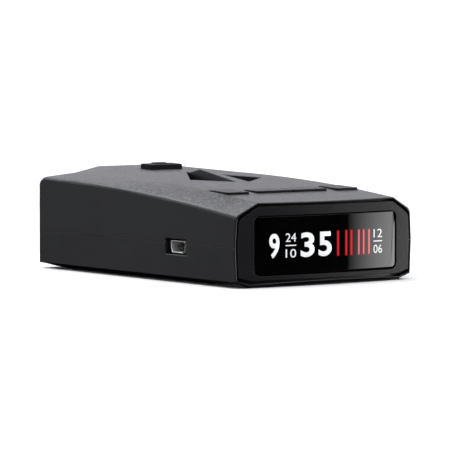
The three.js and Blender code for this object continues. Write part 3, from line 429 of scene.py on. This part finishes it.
bezelLook = {"material": "bezelAbs", "slot": "bezel_plastic", "edge": 0.14}
windowLook = {
    "material": "windowAcrylic",
    "slot": "window_gloss",
    "edge": 0.6,  # radius around the polished face, mm
    "segments": 5,
    "flange": 1.2,  # width of the hidden flange and its gap, mm
    "flangeShare": 0.2,  # radius of all other edges as a share
    "trim": 0.1,  # how much less than the flange marks off the face, mm
    "upperBand": 2.5,  # depth of the less rounded band along the top, as multiples of that margin
}
windowLow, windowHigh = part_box("display_window")


def windowShare(edge):
    # only the sides and the foot of the polished face are well rounded
    inset = (windowLook["flange"] - windowLook["trim"]) * mm
    onFace = all(
        windowLow.x + inset < vert.co.x < windowHigh.x - inset
        and windowLow.z + inset < vert.co.z < windowHigh.z - inset
        for vert in edge.verts)
    upper = all(vert.co.z > windowHigh.z - windowLook["upperBand"] * inset for vert in edge.verts)
    return 1 if onFace and edge.is_convex and not upper else windowLook["flangeShare"]


refine("front_bezel", bezelLook)
windowPiece = refine("display_window", windowLook, share=windowShare)
print("bezel and window made")

keyNames = ("power", "volume_down", "volume_up", "mute")
keyLook = {"material": "keyAbs", "slot": "key_plastic", "edge": 0.18}
releaseLook = {"material": "releaseAbs", "slot": "release_plastic", "edge": 0.3}
for key in keyNames:
    refine(key + "_key", keyLook)
refine("release_button", releaseLook)
print("keys and release button made")

socketLook = {"material": "shellNickel", "slot": "bright_steel", "edge": 0.19, "angle": 40}
insulatorLook = {"material": "insulatorNylon", "slot": "inner_plastic", "edge": 0.1}
lensLook = {"material": "lensAcrylic", "slot": "laser_lens", "edge": 0.2}
refine("usb_socket", socketLook)
refine("usb_insulator", insulatorLook)
refine("rear_lens", lensLook)
print("socket and lens made")


display = {
    # all in mm; left and right are distances from the figures' datum
    "datum": 0.3,  # which lies this far left of the flange's inner edge
    "middle": 12.8,  # height of the figures' middle above the base
    "bigTall": 7.7,
    "bigWeight": 0.025,
    "bigFigures": (("9", 5.4, 9.1), ("3", 17.0, 22.2), ("5", 23.8, 28.9)),
    "smallTall": 2.65,
    "smallGap": 1.15,  # from the divider's middle to the small figures
    "smallFigures": (("24", "10", 11.4, 15.3), ("12", "06", 46.2, 49.9)),
    "dividerTall": 0.35,
    "bars": (31.5, 34.8, 36.9, 40.0, 42.0, 44.25),
    "barWide": 0.95,
    "barTall": 8.0,
    "coreWide": 0.32,
    "coreShort": 0.3,  # a core ends this far inside its bar
    "coreProud": 0.03,  # and stands this far above it
    "paintedSheenFrom": 3,  # the bars from here on have a paler middle, a painted reflection of the window's sheen
    "proud": 0.03,
    "thick": 0.2,
    "column": 0.5,  # widest step that follows the window's bow
    "rayFrom": 20,  # in front of the window
}
faceTree = BVHTree.FromObject(windowPiece, bpy.context.evaluated_depsgraph_get())
windowLeft = windowLow.x + (windowLook["flange"] - display["datum"]) * mm


def faceY(x, z):
    hit = faceTree.ray_cast(Vector((x, windowLow.y - display["rayFrom"] * mm, z)), Vector((0, 1, 0)))
    return hit[0].y


def layOnWindow(flat, name, material, proud):
    # flat is a mesh in X and Z; it becomes a thin slab that follows the window's bow
    shape = bmesh.new()
    shape.from_mesh(flat)
    bmesh.ops.triangulate(shape, faces=shape.faces)
    bmesh.ops.recalc_face_normals(shape, faces=shape.faces)
    top = list(shape.faces)
    extruded = bmesh.ops.extrude_face_region(shape, geom=top)
    back = [g for g in extruded["geom"] if isinstance(g, bmesh.types.BMVert)]
    backSet = set(back)
    for vert in shape.verts:
        face = faceY(vert.co.x, vert.co.z)
        vert.co.y = face + (display["thick"] if vert in backSet else -proud) * mm
    bmesh.ops.recalc_face_normals(shape, faces=shape.faces)
    mesh = bpy.data.meshes.new(name)
    shape.to_mesh(mesh)
    shape.free()
    mesh.materials.append(materials[material])
    piece = bpy.data.objects.new(name, mesh)
    bpy.context.scene.collection.objects.link(piece)
    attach(piece, "case")
    return piece


def figure(text, name, left, right, low, high, weight):
    # figures of the display between two distances from the datum, mm
    curve = bpy.data.curves.new(name, "FONT")
    curve.body = text
    curve.size = 1
    curve.offset = weight
    curve.resolution_u = 4
    writer = bpy.data.objects.new(name + "_writer", curve)
    bpy.context.scene.collection.objects.link(writer)
    bpy.context.view_layer.update()
    flat = bpy.data.meshes.new_from_object(writer.evaluated_get(bpy.context.evaluated_depsgraph_get()))
    bpy.data.objects.remove(writer)
    xs = [v.co.x for v in flat.vertices]
    ys = [v.co.y for v in flat.vertices]
    for vert in flat.vertices:
        x = windowLeft + (left + (right - left) * (vert.co.x - min(xs)) / (max(xs) - min(xs))) * mm
        z = (low + (high - low) * (vert.co.y - min(ys)) / (max(ys) - min(ys))) * mm
        vert.co = Vector((x, 0, z))
    return layOnWindow(flat, name, "whiteSegment", display["proud"])


def strip(name, left, right, low, high, material, proud):
    # a plain lit bar with enough columns to follow the bow
    shape = bmesh.new()
    columns = max(2, int((right - left) / display["column"]) + 1)
    rows = []
    for i in range(columns + 1):
        x = windowLeft + (left + (right - left) * i / columns) * mm
        rows.append([shape.verts.new((x, 0, z * mm)) for z in (low, high)])
    for a, b in zip(rows, rows[1:]):
        shape.faces.new((a[0], b[0], b[1], a[1]))
    flat = bpy.data.meshes.new(name + "_flat")
    shape.to_mesh(flat)
    shape.free()
    return layOnWindow(flat, name, material, proud)


middle = display["middle"]
proud = display["proud"]
half = display["bigTall"] / 2
for i, (text, left, right) in enumerate(display["bigFigures"]):
    name = "figure_big_%d" % (i + 1)
    figure(text, name, left, right, middle - half, middle + half, display["bigWeight"])
near = display["smallGap"]
far = near + display["smallTall"]
half = display["dividerTall"] / 2
for i, (upper, lower, left, right) in enumerate(display["smallFigures"]):
    figure(upper, "figure_upper_%d" % (i + 1), left, right, middle + near, middle + far, 0)
    figure(lower, "figure_lower_%d" % (i + 1), left, right, middle - far, middle - near, 0)
    name = "divider_%d" % (i + 1)
    strip(name, left, right, middle - half, middle + half, "whiteSegment", proud)
half = display["barWide"] / 2
core = display["coreWide"] / 2
low, high = middle - display["barTall"] / 2, middle + display["barTall"] / 2
short = display["coreShort"]
coreProud = proud + display["coreProud"]
for i, centre in enumerate(display["bars"]):
    strip("level_bar_%d" % (i + 1), centre - half, centre + half, low, high, "redSegment", proud)
    # the last bars take the paler middle, a painted sheen over their glow
    coreMaterial = "redCore" if i < display["paintedSheenFrom"] else "coreWithPaintedSheen"
    name = "bar_core_%d" % (i + 1)
    strip(name, centre - core, centre + core, low + short, high - short, coreMaterial, coreProud)
print("display made")


def inner(material, slot, edge, angle=refineLook["angle"]):
    # inner pieces keep their form, with rounded edges
    return {"material": material, "slot": slot, "edge": edge, "angle": angle, "segments": 2}


boardLook = inner("boardLaminate", "circuit_board", 0.1)
chipLook = inner("chipEpoxy", "chip_plastic", 0.15)
holderLook = inner("holderAbs", "inner_plastic", 0.2)
shieldLook = inner("tinPlate", "bright_steel", 0.12)
screwLook = inner("screwZinc", "screw_steel", 0.1, 40)
innerPieces = {
    "display_panel": inner("panelGlass", "display_glass", 0.15),
    "display_board": boardLook,
    "display_holder": holderLook,
    "display_flex": inner("flexPolyimide", "flex_cable", 0),
    "key_board": boardLook,
    "main_board": boardLook,
    "sensor_board": boardLook,
    "bracket_channel": inner("channelAcetal", "inner_plastic", 0.2),
    "processor_chip": chipLook,
    "rf_shield": shieldLook,
    "horn_antenna": inner("hornZinc", "cast_zinc", 0.3),
    "laser_sensor": chipLook,
    "speaker_frame": shieldLook,
    "speaker_cone": inner("conePaper", "speaker_cone", 0),
    "rating_label": inner("labelFilm", "label_film", 0),
}
for node, look in innerPieces.items():
    refine(node, look)
for key in keyNames:
    refine(key + "_switch", chipLook)
    refine(key + "_plunger", holderLook)
for i in (1, 2, 3, 4):
    refine("case_screw_%d" % i, screwLook)
    refine("board_screw_%d" % i, screwLook)
for i in (1, 2):
    refine("key_board_screw_%d" % i, screwLook)
print("inner pieces made")

springLook = {"material": "springSteel", "slot": "spring_steel", "edge": 0}
spring = refine("release_spring", springLook)
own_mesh(spring)
print("release spring made")


floorLook = {
    "light": "#f4f4f5",
    "dark": "#f0f0f1",
    "speck": 30,  # mm
    "shade": (0.3, 0.7),
    "roughness": 0.9,
    "sides": 96,
    "rings": ((1.0, 0), (3.0, 0), (6.0, 0), (7.0, 0.35), (7.5, 1.2)),  # radius and height, m
}


def makeFloor():
    # a pale disc whose rim curves up far away
    shape = bmesh.new()
    count = floorLook["sides"]
    centre = shape.verts.new((0, 0, 0))
    turns = [2 * math.pi * i / count for i in range(count)]
    loops = [[shape.verts.new((radius * math.cos(t), radius * math.sin(t), height)) for t in turns]
             for radius, height in floorLook["rings"]]
    for i in range(count):
        after = (i + 1) % count
        shape.faces.new((centre, loops[0][i], loops[0][after]))
        for near, far in zip(loops, loops[1:]):
            shape.faces.new((near[i], far[i], far[after], near[after]))
    floor = addStage(shape, "floor")
    material, tree, output, place = startMaterial("pale painted floor")
    speck = addNode(tree, "ShaderNodeTexNoise", {
        "Vector": place, "Scale": perMetre(floorLook["speck"]), "Detail": 2})
    colour = addNode(tree, "ShaderNodeValToRGB", {"Fac": speck.outputs["Fac"]},
                     stops=linearStops(floorLook["shade"], (floorLook["dark"], floorLook["light"])))
    shader = addNode(tree, "ShaderNodeBsdfPrincipled", {
        "Base Color": colour.outputs["Color"], "Roughness": floorLook["roughness"],
        "Specular IOR Level": 0.0})
    finishMaterial(tree, output, shader)
    floor.data.materials.append(material)
    floor.visible_glossy = False  # gloss sees the dark studio below it, not the bright floor


def addStage(shape, name):
    mesh = bpy.data.meshes.new(name)
    shape.to_mesh(mesh)
    shape.free()
    thing = bpy.data.objects.new(name, mesh)
    bpy.context.scene.collection.objects.link(thing)
    return thing


skyLook = {
    "strength": 1.5,
    "heights": (0.0, 0.03, 0.2, 0.45, 0.8),  # from the horizon (0) to overhead (1)
    "colours": ("#000000", "#1c1d20", "#5a5c62", "#d8dae0", "#ffffff"),
}


def makeSky():
    # a soft dome: dark at the horizon, bright overhead, as under one large ceiling softbox
    world = bpy.data.worlds.new("studio dome")
    bpy.context.scene.world = world
    world.use_nodes = True
    tree = world.node_tree
    tree.nodes.clear()
    direction = addNode(tree, "ShaderNodeTexCoord").outputs["Generated"]
    height = addNode(tree, "ShaderNodeSeparateXYZ", {"Vector": direction}).outputs["Z"]
    shade = addNode(tree, "ShaderNodeValToRGB", {"Fac": height},
                    stops=linearStops(skyLook["heights"], skyLook["colours"]))
    background = addNode(tree, "ShaderNodeBackground", {
        "Color": shade.outputs["Color"], "Strength": skyLook["strength"]})
    output = addNode(tree, "ShaderNodeOutputWorld")
    tree.links.new(background.outputs[0], output.inputs["Surface"])


softbox = {"size": (1.4, 1.0), "energy": 9, "place": (-0.35, 0.25, 1.3)}


def makeSoftbox():
    light = bpy.data.lights.new("ceiling softbox", "AREA")
    light.shape = "RECTANGLE"
    light.size, light.size_y = softbox["size"]
    light.energy = softbox["energy"]
    lamp = bpy.data.objects.new("ceiling softbox", light)
    lamp.location = softbox["place"]
    lamp.rotation_euler = (-Vector(softbox["place"])).to_track_quat("-Z", "Y").to_euler()
    bpy.context.scene.collection.objects.link(lamp)


cardGrid = {"columns": 16, "rows": 6}


def makeCard(name, look):
    # a glowing wall, curved around the object, that only glossy surfaces see
    # turns are degrees from +X towards +Y, climbs are degrees above the floor
    # the glow changes along X between the two turns of fade
    shape = bmesh.new()
    columns, rows = cardGrid["columns"], cardGrid["rows"]
    reach = look["reach"]
    centreX, centreY = (c * mm for c in look["centre"])
    grid = []
    for i in range(columns + 1):
        turn = math.radians(look["turns"][0] + (look["turns"][1] - look["turns"][0]) * i / columns)
        x = reach * math.cos(turn) + centreX
        y = reach * math.sin(turn) + centreY
        column = []
        for j in range(rows + 1):
            climb = math.radians(look["climbs"][0] + (look["climbs"][1] - look["climbs"][0]) * j / rows)
            column.append(shape.verts.new((x, y, reach * math.tan(climb))))
        grid.append(column)
    for a, b in zip(grid, grid[1:]):
        for j in range(rows):
            shape.faces.new((a[j], b[j], b[j + 1], a[j + 1]))
    card = addStage(shape, name)
    material, tree, output, place = startMaterial("glow of the " + name)
    spot = addNode(tree, "ShaderNodeSeparateXYZ", {"Vector": place})
    low, high = (reach * math.tan(math.radians(c)) for c in look["climbs"])
    up = addNode(tree, "ShaderNodeMapRange", {
        "Value": spot.outputs["Z"], "From Min": low, "From Max": high})
    start, end = (reach * math.cos(math.radians(t)) + centreX for t in look["fade"])
    across = addNode(tree, "ShaderNodeMapRange", {
        "Value": spot.outputs["X"], "From Min": start, "From Max": end,
        "To Min": look["glowAcross"][0], "To Max": look["glowAcross"][1]})
    shade = addNode(tree, "ShaderNodeValToRGB", {"Fac": up.outputs[0]},
                    stops=linearStops(look["heights"], look["colours"]))
    glow = addNode(tree, "ShaderNodeEmission", {
        "Color": shade.outputs["Color"], "Strength": across.outputs[0]})
    finishMaterial(tree, output, glow)
    card.data.materials.append(material)
    card.visible_camera = False
    card.visible_diffuse = False
    card.visible_shadow = False


# behind the object: it lights the top and its bevels at a low angle
backCard = {
    "centre": (0, 0),
    "reach": 1.6,
    "turns": (20, 113),
    "climbs": (1, 52),
    "fade": (100, 78),
    "glowAcross": (6, 1.9),
    "heights": (0.0, 0.055, 0.11, 0.155, 0.23, 0.37, 0.56, 0.8),
    "colours": ("#1c1d22", "#26282e", "#50525e", "#f4f4f8", "#dcdce2", "#404048", "#f0f0f2", "#ffffff"),
}
# to the front right: it puts the sheen on the window's right end
sheenCard = {
    "centre": (11, -56),
    "reach": 0.6,
    "turns": (-48.2, 60),
    "climbs": (-16, 12),
    "fade": (-48.2, -30),
    "glowAcross": (0.3, 10),
    "heights": (0.0, 0.35, 0.7, 1.0),
    "colours": ("#ffffff", "#f0f0f0", "#b0b0b0", "#8c8c8c"),
}
# behind the left side, level with it: for the bright metal of the socket and a faint lift of the side
sideCard = {
    "centre": (0, 0),
    "reach": 1.2,
    "turns": (120, 138),
    "climbs": (-18, 3),
    "fade": (120, 138),
    "glowAcross": (0.95, 0.95),
    "heights": (0.0, 1.0),
    "colours": ("#e8e8ea", "#e8e8ea"),
}

shot = {
    "target": (1.24, 0.56, 15.65),  # mm
    "distance": 1.16,
    "azimuth": -36.24,
    "elevation": 3.63,
    "lens": 285.9,  # mm
    "sensor": 36,  # mm
    "clip": (0.05, 50),
}


def makeCamera():
    azimuth = math.radians(shot["azimuth"])
    elevation = math.radians(shot["elevation"])
    level = math.cos(elevation)
    away = Vector((math.sin(azimuth) * level, -math.cos(azimuth) * level, math.sin(elevation)))
    camera = bpy.data.cameras.new("camera")
    camera.lens = shot["lens"]
    camera.sensor_width = shot["sensor"]
    camera.clip_start, camera.clip_end = shot["clip"]
    eye = bpy.data.objects.new("camera", camera)
    eye.location = Vector(shot["target"]) * mm + away * shot["distance"]
    eye.rotation_euler = (math.pi / 2 - elevation, 0, azimuth)
    bpy.context.scene.collection.objects.link(eye)
    bpy.context.scene.camera = eye


makeFloor()
makeSky()
makeSoftbox()
makeCard("back card", backCard)
makeCard("sheen card", sheenCard)
makeCard("side card", sideCard)
makeCamera()
bpy.context.scene.view_settings.view_transform = "Standard"
print("studio made")
